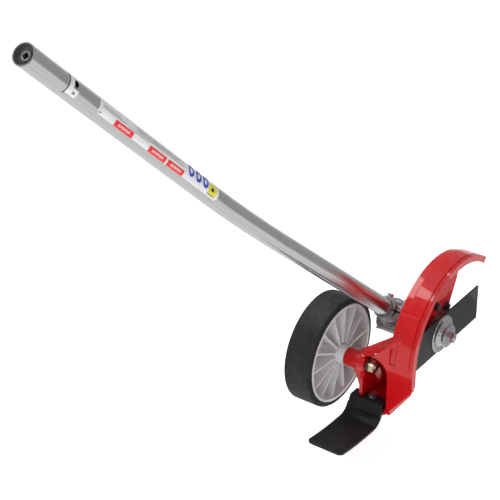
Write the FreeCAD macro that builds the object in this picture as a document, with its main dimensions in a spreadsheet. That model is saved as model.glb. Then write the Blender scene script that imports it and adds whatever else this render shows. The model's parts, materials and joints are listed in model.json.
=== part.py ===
import FreeCAD, Part
import Sketcher
import math
import os

# Split-boom lawn edger attachment. Millimetres, +Z up, +Y forward (away from the operator),
# +X along the blade spindle from the wheel to the blade. The origin is the centre of the
# boom's open upper end, where it enters the power head's coupler.

doc = FreeCAD.newDocument("lawn_edger")
Vector = FreeCAD.Vector
X, Y, Z = Vector(1, 0, 0), Vector(0, 1, 0), Vector(0, 0, 1)

# ---------------------------------------------------------------- driving dimensions
SHEET = {
    # boom
    "boom_od": 24.0, "boom_wall": 1.6, "boom_upper": 366.0, "boom_lower": 357.0, "boom_to_gears": 44.0,
    "bend_radius": 4010.0, "bend_angle": 2.84, "lower_slope": 41.7,
    "lock_hole": 7.0, "lock_hole_at": 76.0, "lock_hole_angle": 25.0,
    "liner_od": 11.0, "liner_id": 8.6, "core_od": 8.0, "core_tip_od": 6.3,
    "drive_end_od": 10.0, "drive_square": 5.6,
    "running": 0.05,
    # head: the datum is the spindle axis at the blade's outer face
    "boom_offset": 54.0, "blade_len": 190.5, "blade_width": 50.8, "blade_thick": 2.6, "arbor_hole": 25.4,
    # bevel gears
    "gear_module": 1.5, "pinion_teeth": 12, "gear_teeth": 19, "tooth_face": 5.0, "shaft_od": 12.0,
    # gearcase
    "case_od": 46.0, "cavity_od": 34.0, "nose_od": 37.0, "neck_od": 31.0,
    "bearing_od": 28.0, "bearing_width": 8.0, "pinion_bearing_od": 22.0, "pinion_bearing_width": 6.0,
    "guard_bolt_circle": 74.0, "guard_bolt": 6.0,
    # spindle hardware
    "flange_od": 52.0, "cup_od": 32.0, "inner_flange_od": 44.0, "stud_od": 8.0, "nut_flats": 13.0,
    # guard
    "fender_od": 220.0, "fender_rise": 6.0, "fender_skin": 4.0, "fender_left": 15.5, "fender_right": 22.0,
    "fender_lip": 9.0, "fender_start": 51.0, "web_thick": 4.0,
    # depth slot in the wheel bracket
    "bracket_left": 60.0, "bracket_plate": 5.0,
    "slot_radius": 66.0, "slot_width": 11.0, "slot_travel": 43.5,
    # wheel
    "wheel_x": 117.2, "wheel_y": 91.2, "wheel_z": 18.8, "wheel_od": 152.0, "wheel_width": 40.0,
    "rim_od": 136.0, "hub_right": 30.0, "hub_left": 22.0, "axle_od": 10.0, "axle_flats": 17.0,
    "spokes": 14, "boss_od": 25.0, "sleeve_od": 18.0, "hood_length": 31.0,
    # flap
    "flap_width": 52.5, "flap_thick": 4.2, "flap_right": 21.0, "flap_block": 49.5, "flap_inset": 3.0,
}

sheet = doc.addObject("Spreadsheet::Sheet", "dims")
for row, (alias, number) in enumerate(SHEET.items(), start=1):
    sheet.set(f"A{row}", alias)
    sheet.set(f"B{row}", str(number))
    sheet.setAlias(f"B{row}", alias)
doc.recompute()


class Size:
    """A number together with the sheet formula that gives it."""

    def __init__(self, number, formula=None):
        self.number = float(number)
        self.formula = formula or repr(float(number))

    def _with(self, sign, other, number):
        return Size(number, f"({self.formula} {sign} {other.formula})")

    def __add__(self, other):
        other = size(other)
        return self._with("+", other, self.number + other.number)

    def __sub__(self, other):
        other = size(other)
        return self._with("-", other, self.number - other.number)

    def __mul__(self, other):
        other = size(other)
        return self._with("*", other, self.number * other.number)

    def __truediv__(self, other):
        other = size(other)
        return self._with("/", other, self.number / other.number)

    def __radd__(self, other):
        return size(other) + self

    def __rsub__(self, other):
        return size(other) - self

    def __rmul__(self, other):
        return size(other) * self

    def __neg__(self):
        return size(0) - self


def size(value):
    return value if isinstance(value, Size) else Size(value)


def dim(alias):
    return Size(SHEET[alias], f"dims.{alias}")


def num(alias):
    return SHEET[alias]


# ---------------------------------------------------------------- helpers
nodes = []


def node(obj, label):
    """Marks an object as a sub-part and gives it the label that names its file."""
    obj.Label = label
    nodes.append(obj)
    return obj


def bind(obj, **sizes):
    for name, value in sizes.items():
        obj.setExpression(name, size(value).formula)
    return obj


def turn_to(direction, start=Z):
    return FreeCAD.Rotation(start, direction)


def put(obj, at=Vector(), rotation=None):
    obj.Placement = FreeCAD.Placement(at, rotation or FreeCAD.Rotation())
    return obj


def cylinder(name, radius, height, at=Vector(), along=Z, angle=360):
    """A cylinder from `at` along `along`."""
    obj = bind(doc.addObject("Part::Cylinder", name), Radius=radius, Height=height)
    obj.Angle = angle
    return put(obj, at, turn_to(along))


def box(name, low, high):
    """An axis-parallel box between two corners, each given as three sizes."""
    obj = doc.addObject("Part::Box", name)
    low, high = [size(v) for v in low], [size(v) for v in high]
    bind(obj, Length=high[0] - low[0], Width=high[1] - low[1], Height=high[2] - low[2])
    return put(obj, Vector(*[v.number for v in low]))


def prism(name, flats, height, at, along, sides=6):
    obj = doc.addObject("Part::Prism", name)
    obj.Polygon = sides
    bind(obj, Circumradius=size(flats) / (2 * math.cos(math.pi / sides)), Height=height)
    return put(obj, at, turn_to(along))


def fuse(name, shapes):
    obj = doc.addObject("Part::MultiFuse", name)
    obj.Shapes = shapes
    return obj


def cut(name, base, tool):
    obj = doc.addObject("Part::Cut", name)
    obj.Base = base
    obj.Tool = tool if not isinstance(tool, list) else fuse(name + "_tools", tool)
    return obj


def group(name, shapes):
    obj = doc.addObject("Part::Compound", name)
    obj.Links = shapes
    return obj


def solid(name, shape, at=Vector()):
    obj = doc.addObject("Part::Feature", name)
    obj.Shape = shape
    return put(obj, at)


def origin_feature(body, role):
    return [f for f in body.Origin.OriginFeatures if f.Role == role][0]


def outline(body, plane, corners, name):
    """A closed sketch on one of the body's origin planes, each corner held by its two sizes."""
    sk = body.newObject("Sketcher::SketchObject", name)
    sk.AttachmentSupport = [(origin_feature(body, plane), "")]
    sk.MapMode = "FlatFace"
    corners = [(size(u), size(v)) for u, v in corners]
    points = [Vector(u.number, v.number, 0) for u, v in corners]
    for i, point in enumerate(points):
        sk.addGeometry(Part.LineSegment(point, points[(i + 1) % len(points)]), False)
    for i in range(len(points)):
        sk.addConstraint(joined_ends(i, (i + 1) % len(points)))
    for i, (u, v) in enumerate(corners):
        for kind, value in (("DistanceX", u), ("DistanceY", v)):
            if abs(value.number) < 1e-9:
                axis = -2 if kind == "DistanceX" else -1
                sk.addConstraint(Sketcher.Constraint("PointOnObject", i, 1, axis))
                continue
            at = sk.addConstraint(Sketcher.Constraint(kind, -1, 1, i, 1, value.number))
            sk.setExpression(f"Constraints[{at}]", value.formula)
    return sk


def joined_ends(edge, following):
    return Sketcher.Constraint("Coincident", edge, 2, following, 1)


def turned(name, profile, degrees=360):
    """A body of revolution about its own X axis from (x, radius) corners."""
    body = doc.addObject("PartDesign::Body", name)
    sk = outline(body, "XY_Plane", profile, name + "_profile")
    rev = body.newObject("PartDesign::Revolution", name + "_turned")
    rev.Profile = sk
    rev.ReferenceAxis = (sk, ["H_Axis"])
    rev.Angle = degrees
    body.Tip = rev
    return body


def plate(name, plane, corners, thickness, at=Vector(), extra=None):
    """A padded outline. extra adds features to the body and returns its new tip."""
    body = doc.addObject("PartDesign::Body", name)
    sk = outline(body, plane, corners, name + "_outline")
    pad = body.newObject("PartDesign::Pad", name + "_pad")
    pad.Profile = sk
    pad.setExpression("Length", size(thickness).formula)
    body.Tip = extra(body, pad) if extra else pad
    return put(body, at)


# ---------------------------------------------------------------- boom line
UPPER_SLOPE = math.radians(num("lower_slope") + num("bend_angle"))
LOWER_SLOPE = math.radians(num("lower_slope"))
UPPER_DIR = Vector(0, math.cos(UPPER_SLOPE), -math.sin(UPPER_SLOPE))
LOWER_DIR = Vector(0, math.cos(LOWER_SLOPE), -math.sin(LOWER_SLOPE))
BEND_START = UPPER_DIR * num("boom_upper")
BEND_CENTRE = BEND_START + UPPER_DIR.cross(X) * -num("bend_radius")
BEND_END = BEND_CENTRE + (Vector(LOWER_DIR).cross(X) * num("bend_radius"))
BOOM_END = BEND_END + LOWER_DIR * num("boom_lower")
GEARS = BOOM_END + LOWER_DIR * num("boom_to_gears")
HEAD = GEARS + X * num("boom_offset")
BEND_LENGTH = num("bend_radius") * math.radians(num("bend_angle"))


def boom_rod(name, radius, start, short=0.0):
    """A round bar that follows the boom's line from `start` below its mouth to `short` before its end."""
    upper = cylinder(name + "_upper", radius, dim("boom_upper") - start, UPPER_DIR * start, UPPER_DIR)
    bend = doc.addObject("Part::Torus", name + "_bend")
    bind(bend, Radius1=dim("bend_radius"), Radius2=radius, Angle3=dim("bend_angle"))
    out = (BEND_END - BEND_CENTRE).normalize()
    bend.Placement = FreeCAD.Placement(BEND_CENTRE, FreeCAD.Rotation(out, -LOWER_DIR, X, "XYZ"))
    lower = cylinder(name + "_lower", radius, dim("boom_lower") - short, BEND_END, LOWER_DIR)
    return fuse(name, [upper, bend, lower])


hole_angle = math.radians(num("lock_hole_angle"))
LOCK_HOLE_DIR = X * math.cos(hole_angle) - UPPER_DIR.cross(X) * math.sin(hole_angle)
boom_hole = cylinder("boom_lock_hole", dim("lock_hole") / 2, dim("boom_od"),
                     UPPER_DIR * num("lock_hole_at"), LOCK_HOLE_DIR)
node(cut("boom_tube_solid", boom_rod("boom_outside", dim("boom_od") / 2, 0),
         [boom_rod("boom_inside", dim("boom_od") / 2 - dim("boom_wall"), 0), boom_hole]), "boom_tube")
node(cut("liner_solid", boom_rod("liner_outside", dim("liner_od") / 2, 44, 24),
         boom_rod("liner_inside", dim("liner_id") / 2, 44, 24)), "flex_liner")
core_tip = cylinder("core_tip", dim("core_tip_od") / 2, 18, BOOM_END - LOWER_DIR * 8, LOWER_DIR)
node(fuse("core_with_tip", [boom_rod("core_solid", dim("core_od") / 2, 42.3, 6), core_tip]), "flex_core")


def boom_bush(name, distance, base, direction, bore):
    """A plastic bearing ring pressed into the boom."""
    length, start = 16, base + direction * distance
    outer = cylinder(name + "_ring", dim("boom_od") / 2 - dim("boom_wall"), length, start, direction)
    inner = cylinder(name + "_bore", bore, length, start, direction)
    return cut(name, outer, inner)


mouth_bore = dim("drive_end_od") / 2 + dim("running")
node(boom_bush("mouth_bush_solid", 8, Vector(), UPPER_DIR, mouth_bore), "mouth_bush")
node(group("liner_bush_group", [
    boom_bush("liner_bush_high", 180, Vector(), UPPER_DIR, dim("liner_od") / 2),
    boom_bush("liner_bush_bend", 4, BEND_END, LOWER_DIR, dim("liner_od") / 2),
    boom_bush("liner_bush_low", 190, BEND_END, LOWER_DIR, dim("liner_od") / 2),
]), "liner_bushes")
drive_bar = cylinder("drive_end_bar", dim("drive_end_od") / 2, 38, UPPER_DIR * 4, UPPER_DIR)
drive_socket = prism("drive_end_socket", dim("drive_square"), 20, UPPER_DIR * 4, UPPER_DIR, sides=4)
node(cut("drive_end_solid", drive_bar, drive_socket), "drive_end")


# ---------------------------------------------------------------- bevel gears
def bevel_teeth(teeth, mate):
    """One bevel gear's teeth on their root cone, apex at the origin, axis along +X."""
    module, face = num("gear_module"), num("tooth_face")
    radius = module * teeth / 2
    cone = math.atan2(teeth, mate)
    distance = radius / math.sin(cone)
    virtual = radius / math.cos(cone)
    pressure = math.radians(22.5)
    base = virtual * math.cos(pressure)
    addendum, dedendum, backlash = 0.92 * module, 1.25 * module, 0.16
    inv = math.tan(pressure) - pressure
    half = math.pi * module / 4 / virtual - backlash / 2 / virtual + inv
    heights = [virtual - dedendum - 0.3, virtual - 0.45 * module, virtual - 0.1 * module,
               virtual + 0.35 * module, virtual + addendum + 0.2]
    flank = []
    for rho in heights:
        roll = math.acos(min(1.0, base / rho))
        spread = half - (math.tan(roll) - roll) if rho > base else half
        flank.append((rho - virtual, max(spread, 0.01)))
    sides = [(rise, -spread) for rise, spread in flank]
    sides += [(rise, spread) for rise, spread in reversed(flank)]
    along = Vector(math.cos(cone), math.sin(cone), 0)
    corners = []
    for rise, spread in sides:
        turn = spread / math.cos(cone)
        r = distance * math.sin(cone) + rise * math.cos(cone)
        axial = distance * math.cos(cone) - rise * math.sin(cone)
        point = Vector(axial, r * math.cos(turn), r * math.sin(turn))
        corners.append(point * (distance / point.dot(along)))
    small, large = 0.5, 1.25
    wires = [Part.makePolygon([p * k for p in corners] + [corners[0] * k]) for k in (small, large)]
    tooth = Part.makeLoft(wires, True, True)

    def on_back(rise, share):
        """The (x, radius) point `rise` above the pitch cone, at a share of the cone distance."""
        return (share * (distance * math.cos(cone) - rise * math.sin(cone)),
                share * (distance * math.sin(cone) + rise * math.cos(cone)))

    inner = (distance - face) / distance
    tip_in, tip_out = on_back(addendum, inner), on_back(addendum, 1)
    root_in, root_out = on_back(-dedendum, inner), on_back(-dedendum, 1)
    blank = spin([(root_in[0], 0.5), root_in, tip_in, tip_out, root_out, (root_out[0], 0.5)])
    root = spin([(root_in[0], 0), root_in, root_out, (root_out[0], 0)])
    tooth = tooth.common(blank)
    copies = []
    for i in range(teeth):
        copy = tooth.copy()
        copy.rotate(Vector(), X, 360 * i / teeth)
        copies.append(copy)
    return root.multiFuse(copies).removeSplitter(), root_out


def spin(profile):
    """A solid of revolution about X from (x, radius) corners."""
    points = [Vector(x, r, 0) for x, r in profile]
    return Part.Face(Part.makePolygon(points + points[:1])).revolve(Vector(), X, 360)


def hollow_bar(outer, inner, start, length):
    bar = Part.makeCylinder(outer, length, Vector(start, 0, 0), X)
    return bar.cut(Part.makeCylinder(inner, length, Vector(start, 0, 0), X)) if inner else bar


SHAFT_R = num("shaft_od") / 2
gear_solid, gear_back = bevel_teeth(num("gear_teeth"), num("pinion_teeth"))
gear_hub = 20.0
gear_solid = gear_solid.fuse(Part.makeCylinder(gear_back[1] - 0.5, 3, Vector(gear_back[0], 0, 0), X))
gear_solid = gear_solid.fuse(Part.makeCylinder(9.5, gear_hub - gear_back[0], Vector(gear_back[0], 0, 0), X))
gear_solid = gear_solid.cut(Part.makeCylinder(SHAFT_R, 40, Vector(0, 0, 0), X))
bevel_gear = doc.addObject("Part::Feature", "bevel_gear_solid")
bevel_gear.Shape = gear_solid
# teeth towards the pinion, turned so that one of them stands in the pinion's gap
GEAR_TURN = FreeCAD.Rotation(X, -num("lower_slope")) * FreeCAD.Rotation(Z, 180)
node(put(bevel_gear, GEARS, GEAR_TURN), "bevel_gear")

pinion_solid, pinion_back = bevel_teeth(num("pinion_teeth"), num("gear_teeth"))
PINION_END = 45.0
pinion_solid.rotate(Vector(), X, 180 / num("pinion_teeth"))
pinion_solid = pinion_solid.fuse(Part.makeCylinder(pinion_back[1] - 0.4, 22 - pinion_back[0],
                                                   Vector(pinion_back[0], 0, 0), X))
pinion_solid = pinion_solid.fuse(Part.makeCylinder(5, PINION_END - 22, Vector(22, 0, 0), X))
socket_depth = 12.0
socket_r = num("core_tip_od") / 2 + num("running")
pinion_solid = pinion_solid.cut(Part.makeCylinder(socket_r, socket_depth,
                                                  Vector(PINION_END - socket_depth, 0, 0), X))
bevel_pinion = doc.addObject("Part::Feature", "bevel_pinion_solid")
bevel_pinion.Shape = pinion_solid
BACK_UP = LOWER_DIR * -1
PINION_TURN = FreeCAD.Rotation(BACK_UP, BACK_UP.cross(X), X * -1, "XYZ")
node(put(bevel_pinion, GEARS, PINION_TURN), "bevel_pinion")


# ---------------------------------------------------------------- ball bearings
def bearing(name, bore, outside, width, at, along):
    """Outer ring, inner ring and balls of one ball bearing, as three lists of solids."""
    bore, outside, width = [size(v) for v in (bore, outside, width)]
    ring = (outside - bore) / 6
    mid = (outside + bore) / 2
    outer = cut(name + "_outer", cylinder(name + "_outer_bar", outside / 2, width, at, along),
                cylinder(name + "_outer_bore", outside / 2 - ring, width, at, along))
    inner = cut(name + "_inner", cylinder(name + "_inner_bar", bore / 2 + ring, width, at, along),
                cylinder(name + "_inner_bore", bore / 2, width, at, along))
    side = along.cross(X if abs(along.x) < 0.9 else Y).normalize()
    balls = []
    for i in range(8):
        ball = bind(doc.addObject("Part::Sphere", f"{name}_ball"), Radius=ring / 2 - 0.06)
        spoke = FreeCAD.Rotation(along, 45 * i).multVec(side)
        balls.append(put(ball, at + along * (width.number / 2) + spoke * (mid.number / 2)))
    return outer, inner, balls


def bearing_pair(name, bore, outside, width, places, along):
    outers, inners, balls = [], [], []
    for i, at in enumerate(places):
        outer, inner, some = bearing(f"{name}{'ab'[i]}", bore, outside, width, at, along)
        outers.append(outer)
        inners.append(inner)
        balls += some
    node(group(name + "_outer_group", outers), name + "_outer_rings")
    node(group(name + "_inner_group", inners), name + "_inner_rings")
    node(group(name + "_ball_group", balls), name + "_balls")


LEFT_BEARING, RIGHT_BEARING = -83.0, -33.0
bearing_pair("arbor_bearing", dim("shaft_od"), dim("bearing_od"), dim("bearing_width"),
             [HEAD + X * LEFT_BEARING, HEAD + X * RIGHT_BEARING], X)
bearing_pair("pinion_bearing", 10, dim("pinion_bearing_od"), dim("pinion_bearing_width"),
             [GEARS + BACK_UP * 22.2, GEARS + BACK_UP * 34], BACK_UP)
CIRCLIP_AT, CIRCLIP_THICK = GEARS + BACK_UP * 40.2, 1.2
circlip_r = dim("pinion_bearing_od") / 2
circlip_ring = cylinder("circlip_ring", circlip_r + 0.7, CIRCLIP_THICK, CIRCLIP_AT, BACK_UP)
circlip_bore = cylinder("circlip_bore", circlip_r - 1.8, CIRCLIP_THICK, CIRCLIP_AT, BACK_UP)
node(cut("circlip_solid", circlip_ring, circlip_bore), "pinion_circlip")


# ---------------------------------------------------------------- gearcase
def head(x, y=0, z=0):
    """A point given from the spindle datum."""
    return HEAD + Vector(x, y, z)


def spindle_bar(name, radius, start, end):
    """A cylinder on the spindle axis between two x places given from the datum."""
    return cylinder(name, radius, size(end) - start, head(size(start).number), X)


CASE_LEFT, CASE_RIGHT = -84.0, -34.0
NOSE_END, WEB_FACE = -10.6, -15.5
BOLT_ANGLES = (41, 86, 176, 221)


def around(radius, degrees):
    """The y and z of a point on a circle about the spindle."""
    return radius * math.cos(math.radians(degrees)), radius * math.sin(math.radians(degrees))


case_bar = spindle_bar("case_bar", dim("case_od") / 2, CASE_LEFT, CASE_RIGHT)
case_nose = spindle_bar("case_nose", dim("nose_od") / 2, CASE_RIGHT, NOSE_END)
case_neck = cylinder("case_neck", dim("neck_od") / 2, 78, GEARS + BACK_UP * 2, BACK_UP)
case_collar = cylinder("case_collar", 20.5, 5, GEARS + BACK_UP * 42, BACK_UP)
clamp_up = BACK_UP.cross(X)
clamp_side = X
CLAMP_SCREW_AT = BACK_UP * 61 + clamp_side * 17.8
CLAMP_HALF = 8.5
CLAMP_TURN = FreeCAD.Rotation(BACK_UP, clamp_up * -1, clamp_side, "XYZ")
clamp_block = doc.addObject("Part::Box", "clamp_block")
bind(clamp_block, Length=22, Width=2 * CLAMP_HALF, Height=14)
put(clamp_block, GEARS + BACK_UP * 50 + clamp_side * 8 + clamp_up * CLAMP_HALF, CLAMP_TURN)
bosses = []
for i, angle in enumerate(BOLT_ANGLES):
    y, z = around(num("guard_bolt_circle") / 2, angle)
    bosses.append(cylinder(f"case_boss_{i}", 8.5, 16, head(WEB_FACE - 16, y, z), X))
    rib = doc.addObject("Part::Box", f"case_rib_{i}")
    bind(rib, Length=18, Width=dim("guard_bolt_circle") / 2, Height=8)
    radial = Vector(0, *around(1, angle))
    rib.Placement = FreeCAD.Placement(head(WEB_FACE - 18) + X.cross(radial) * -4,
                                      FreeCAD.Rotation(X, radial, X.cross(radial), "XYZ"))
    bosses.append(rib)
PLUG_DIR = Vector(0, *around(1, 50))
plug_boss = cylinder("plug_boss", 7, 25.5, head(-60), PLUG_DIR)
case_parts = [case_bar, case_nose, case_neck, case_collar, clamp_block, plug_boss]
case_outside = fuse("case_outside", case_parts + bosses)
cavity = [
    spindle_bar("case_cavity", dim("cavity_od") / 2, CASE_LEFT, -37),
    spindle_bar("case_bearing_seat", dim("bearing_od") / 2, -37, -18),
    spindle_bar("case_nose_bore", 9, -18, NOSE_END),
    cylinder("case_pinion_seat", dim("pinion_bearing_od") / 2, 44, GEARS, BACK_UP),
    cylinder("case_circlip_groove", circlip_r + 0.7, CIRCLIP_THICK, CIRCLIP_AT, BACK_UP),
    cylinder("case_boom_socket", dim("boom_od") / 2, 60, BOOM_END, BACK_UP),
    cylinder("case_plug_hole", 4, 20, head(-60) + PLUG_DIR * 10, PLUG_DIR),
]
slit = doc.addObject("Part::Box", "clamp_slit")
bind(slit, Length=32, Width=2, Height=32)
put(slit, GEARS + BACK_UP * 49 + clamp_up, CLAMP_TURN)
clamp_hole = cylinder("clamp_hole", 2.6, 30, GEARS + CLAMP_SCREW_AT - clamp_up * 15, clamp_up)
locate_hole = cylinder("locate_hole", 2.6, 20, GEARS + BACK_UP * 74 + clamp_up * 4, clamp_up)
bolt_holes = []
for i, angle in enumerate(BOLT_ANGLES):
    y, z = around(num("guard_bolt_circle") / 2, angle)
    hole_at = head(WEB_FACE - 14, y, z)
    bolt_holes.append(cylinder(f"case_bolt_hole_{i}", dim("guard_bolt") / 2, 14, hole_at, X))
node(cut("gearcase_solid", case_outside, cavity + [slit, clamp_hole, locate_hole] + bolt_holes), "gearcase")

cover_flange = spindle_bar("cover_flange", dim("case_od") / 2, CASE_LEFT - 3, CASE_LEFT)
cover_spigot = spindle_bar("cover_spigot", dim("cavity_od") / 2, CASE_LEFT, CASE_LEFT + 8)
cover_seat = spindle_bar("cover_seat", dim("bearing_od") / 2, LEFT_BEARING, CASE_LEFT + 8)
cover_holes = []
for i in range(4):
    hole_at = head(CASE_LEFT - 3, *around(20, 45 + 90 * i))
    cover_holes.append(cylinder(f"cover_hole_{i}", 1.9, 3, hole_at, X))
node(cut("cover_solid", fuse("cover_body", [cover_flange, cover_spigot]), [cover_seat] + cover_holes),
     "gearcase_cover")


def screw(name, head_flats, head_height, shank, length, at, along, sides=6):
    """A screw whose head stands on `at`, with its shank running against `along`."""
    top = prism(name + "_head", head_flats, head_height, at, along, sides)
    if sides == 0:
        top = cylinder(name + "_head", head_flats / 2, head_height, at, along)
    bar = cylinder(name + "_shank", size(shank) / 2, length, at - along * size(length).number, along)
    return fuse(name, [top, bar])


cover_screws = []
for i in range(4):
    y, z = around(20, 45 + 90 * i)
    cover_screws.append(screw(f"cover_screw_{i}", 7, 2.6, 3.8, 3, head(CASE_LEFT - 3, y, z), X * -1))
node(group("cover_screw_group", cover_screws), "cover_screws")
node(screw("clamp_screw_solid", 8, 5, 5.2, 16.5, GEARS + CLAMP_SCREW_AT + clamp_up * CLAMP_HALF, clamp_up),
     "clamp_screw")
locate_at = GEARS + BACK_UP * 74 + clamp_up * (num("neck_od") / 2 + 0.05)
node(screw("locating_screw_solid", 8, 4, 5.2, 3.5, locate_at, clamp_up), "locating_screw")
node(screw("grease_plug_solid", 10, 4, 8, 7.5, head(-60) + PLUG_DIR * 25.5, PLUG_DIR), "grease_plug")
seal = cut("seal_solid", spindle_bar("seal_body", dim("bearing_od") / 2, -24.5, -18.5),
           spindle_bar("seal_bore", SHAFT_R + num("running"), -24.5, -18.5))
node(seal, "arbor_seal")

# ---------------------------------------------------------------- spindle
ARBOR_LEFT = LEFT_BEARING + 0.5
arbor_r, stud_r = dim("shaft_od") / 2, dim("stud_od") / 2
arbor = put(turned("arbor_solid", [
    (ARBOR_LEFT, 0), (ARBOR_LEFT, arbor_r), (-9.6, arbor_r), (-9.6, stud_r), (20.2, stud_r),
    (21, stud_r - 0.8), (21, 0),
]), HEAD)
node(arbor, "arbor")
inner_flange = put(turned("inner_flange_solid", [
    (-9.6, dim("stud_od") / 2), (-9.6, 14), (-6.4, dim("inner_flange_od") / 2 - 1),
    (-5.6, dim("inner_flange_od") / 2), (-dim("blade_thick"), dim("inner_flange_od") / 2),
    (-dim("blade_thick"), dim("arbor_hole") / 2 - 0.05), (-0.4, dim("arbor_hole") / 2 - 0.05),
    (-0.4, dim("stud_od") / 2),
]), HEAD)
node(inner_flange, "inner_flange")


def blade_bore(body, pad):
    sk = body.newObject("Sketcher::SketchObject", "blade_bore_circle")
    sk.AttachmentSupport = [(origin_feature(body, "YZ_Plane"), "")]
    sk.MapMode = "FlatFace"
    sk.addGeometry(Part.Circle(Vector(), Z, num("arbor_hole") / 2), False)
    sk.addConstraint(Sketcher.Constraint("Coincident", 0, 3, -1, 1))
    at = sk.addConstraint(Sketcher.Constraint("Radius", 0, num("arbor_hole") / 2))
    sk.setExpression(f"Constraints[{at}]", "dims.arbor_hole / 2")
    hole = body.newObject("PartDesign::Pocket", "blade_bore")
    hole.Profile = sk
    hole.Type = "ThroughAll"
    hole.Midplane = True
    return hole


half_l, half_w = dim("blade_len") / 2, dim("blade_width") / 2
blade_corners = [(-half_l, -half_w), (half_l, -half_w), (half_l, half_w), (-half_l, half_w)]
blade_at = head(-num("blade_thick"))
node(plate("blade_solid", "YZ_Plane", blade_corners, dim("blade_thick"), blade_at, blade_bore), "blade")
outer_flange = put(turned("outer_flange_solid", [
    (0, dim("stud_od") / 2 + 0.1), (0, dim("flange_od") / 2), (1.6, dim("flange_od") / 2),
    (2.6, dim("flange_od") / 2 - 1.2), (2.2, 17.5), (3.4, 16), (8.6, 12), (9.4, 10),
    (9.4, dim("stud_od") / 2 + 0.1),
]), HEAD)
node(outer_flange, "outer_flange")
cup_washer = put(turned("cup_washer_solid", [
    (9.4, dim("stud_od") / 2 + 0.1), (9.4, 10), (9.9, dim("cup_od") / 2), (11.4, dim("cup_od") / 2),
    (12.2, dim("cup_od") / 2 - 1), (12.8, 8), (12.8, dim("stud_od") / 2 + 0.1),
]), HEAD)
node(cup_washer, "cup_washer")
node(cut("arbor_nut_solid", prism("arbor_nut_hex", dim("nut_flats"), 6.5, head(12.8), X),
         cylinder("arbor_nut_bore", dim("stud_od") / 2, 6.5, head(12.8), X)), "arbor_nut")

# ---------------------------------------------------------------- guard
FENDER_R = dim("fender_od") / 2
LEFT, RIGHT = -num("fender_left"), num("fender_right")
FENDER_CENTRE = head(0, 0, num("fender_rise"))
REAR = -num("fender_od") / 2
fender = turned("fender", [
    (LEFT, FENDER_R - 4), (LEFT + 1.5, FENDER_R - 2.6), (-5.4, FENDER_R - 1.9), (-3.6, FENDER_R - 0.2),
    (RIGHT - 6.2, FENDER_R), (RIGHT - 5.4, FENDER_R - 1.3), (RIGHT - 3.8, FENDER_R - 1.3),
    (RIGHT - 3, FENDER_R),
    (RIGHT - 0.6, FENDER_R), (RIGHT, FENDER_R - 0.6), (RIGHT, FENDER_R - dim("fender_lip")),
    (RIGHT - 3, FENDER_R - dim("fender_lip")), (RIGHT - 3, FENDER_R - dim("fender_skin")),
    (LEFT + 4, FENDER_R - dim("fender_skin") - 1), (LEFT, FENDER_R - dim("fender_skin") - 3),
], 180 - num("fender_start"))
put(fender, FENDER_CENTRE, FreeCAD.Rotation(X, num("fender_start")))

WALL_LOW = -76.0
rear_wall = plate("rear_wall", "XZ_Plane", [
    (-19, WALL_LOW), (-18, WALL_LOW), (RIGHT, -24), (RIGHT, dim("fender_rise") + 0.5),
    (LEFT + 2, dim("fender_rise") + 0.5), (LEFT + 2, 34), (-37, 10), (-58, -10), (-58, -16), (-19, -16),
], 5, head(0, REAR + 6.2))
rear_lip = box("rear_lip", (0, 0, 0), (3, 9, 26))
put(rear_lip, head(RIGHT - 3, REAR + 0.2, -19.5))


def fender_point(radius, degrees):
    angle = math.radians(degrees)
    return radius * math.cos(angle), num("fender_rise") + radius * math.sin(angle)


rim_points = [fender_point(FENDER_R.number - 4.6, a) for a in range(int(num("fender_start")), 181, 6)]
web_corners = rim_points + [
    (REAR + 4.2, WALL_LOW + 1), (-60, -66), (-42, -38), (-30, -34), (0, -30), (24, -18), (34, 8),
    (39.5, 27), (54, 54), (63, 78),
]
web = plate("web", "YZ_Plane", web_corners, dim("web_thick"), head(LEFT))
ears = []
for i, angle in enumerate(BOLT_ANGLES):
    ears.append(cylinder(f"guard_ear_{i}", 9.5, dim("web_thick"),
                         head(LEFT, *around(num("guard_bolt_circle") / 2, angle)), X))

PLATE_L = -num("bracket_left")
PLATE_R = PLATE_L + num("bracket_plate")
AXLE = Vector(-num("wheel_x"), -num("wheel_y"), -num("wheel_z"))
SLOT_START = 56.1
SLOT_CENTRE = AXLE - Vector(0, *around(num("slot_radius"), SLOT_START))
SLOT_CENTRE.x = 0
bracket = plate("bracket_side", "YZ_Plane", [
    (-104, -62), (-104, -36), (-98, -27), (-98, -10), (-102, -2), (-94, -0.5), (-83, -6.5), (-74, -13.5),
    (-66, -21.5), (-58, -32.5), (-52, -46), (-48, -62), (-46.5, -78), (-86, -78), (-86, -70), (-104, -70),
], dim("bracket_plate"), head(PLATE_L))
gusset = plate("bracket_gusset", "XZ_Plane", [
    (PLATE_L - 12, -24), (PLATE_L - 7, -33), (PLATE_L - 2, -46), (PLATE_L + 0.5, -50),
    (PLATE_L + 0.5, -22),
], 6, head(0, -96))


def hexahedron(top, drop):
    """A solid between four top corners and the same corners moved down."""
    low = [p + Vector(0, 0, -drop) for p in top]
    quads = [top, low[::-1]]
    quads += [[top[i], low[i], low[(i + 1) % 4], top[(i + 1) % 4]] for i in range(4)]
    faces = []
    for quad in quads:
        for a, b, c in ((quad[0], quad[1], quad[2]), (quad[0], quad[2], quad[3])):
            faces.append(Part.Face(Part.makePolygon([a, b, c, a])))
    return Part.makeSolid(Part.makeShell(faces))


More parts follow.
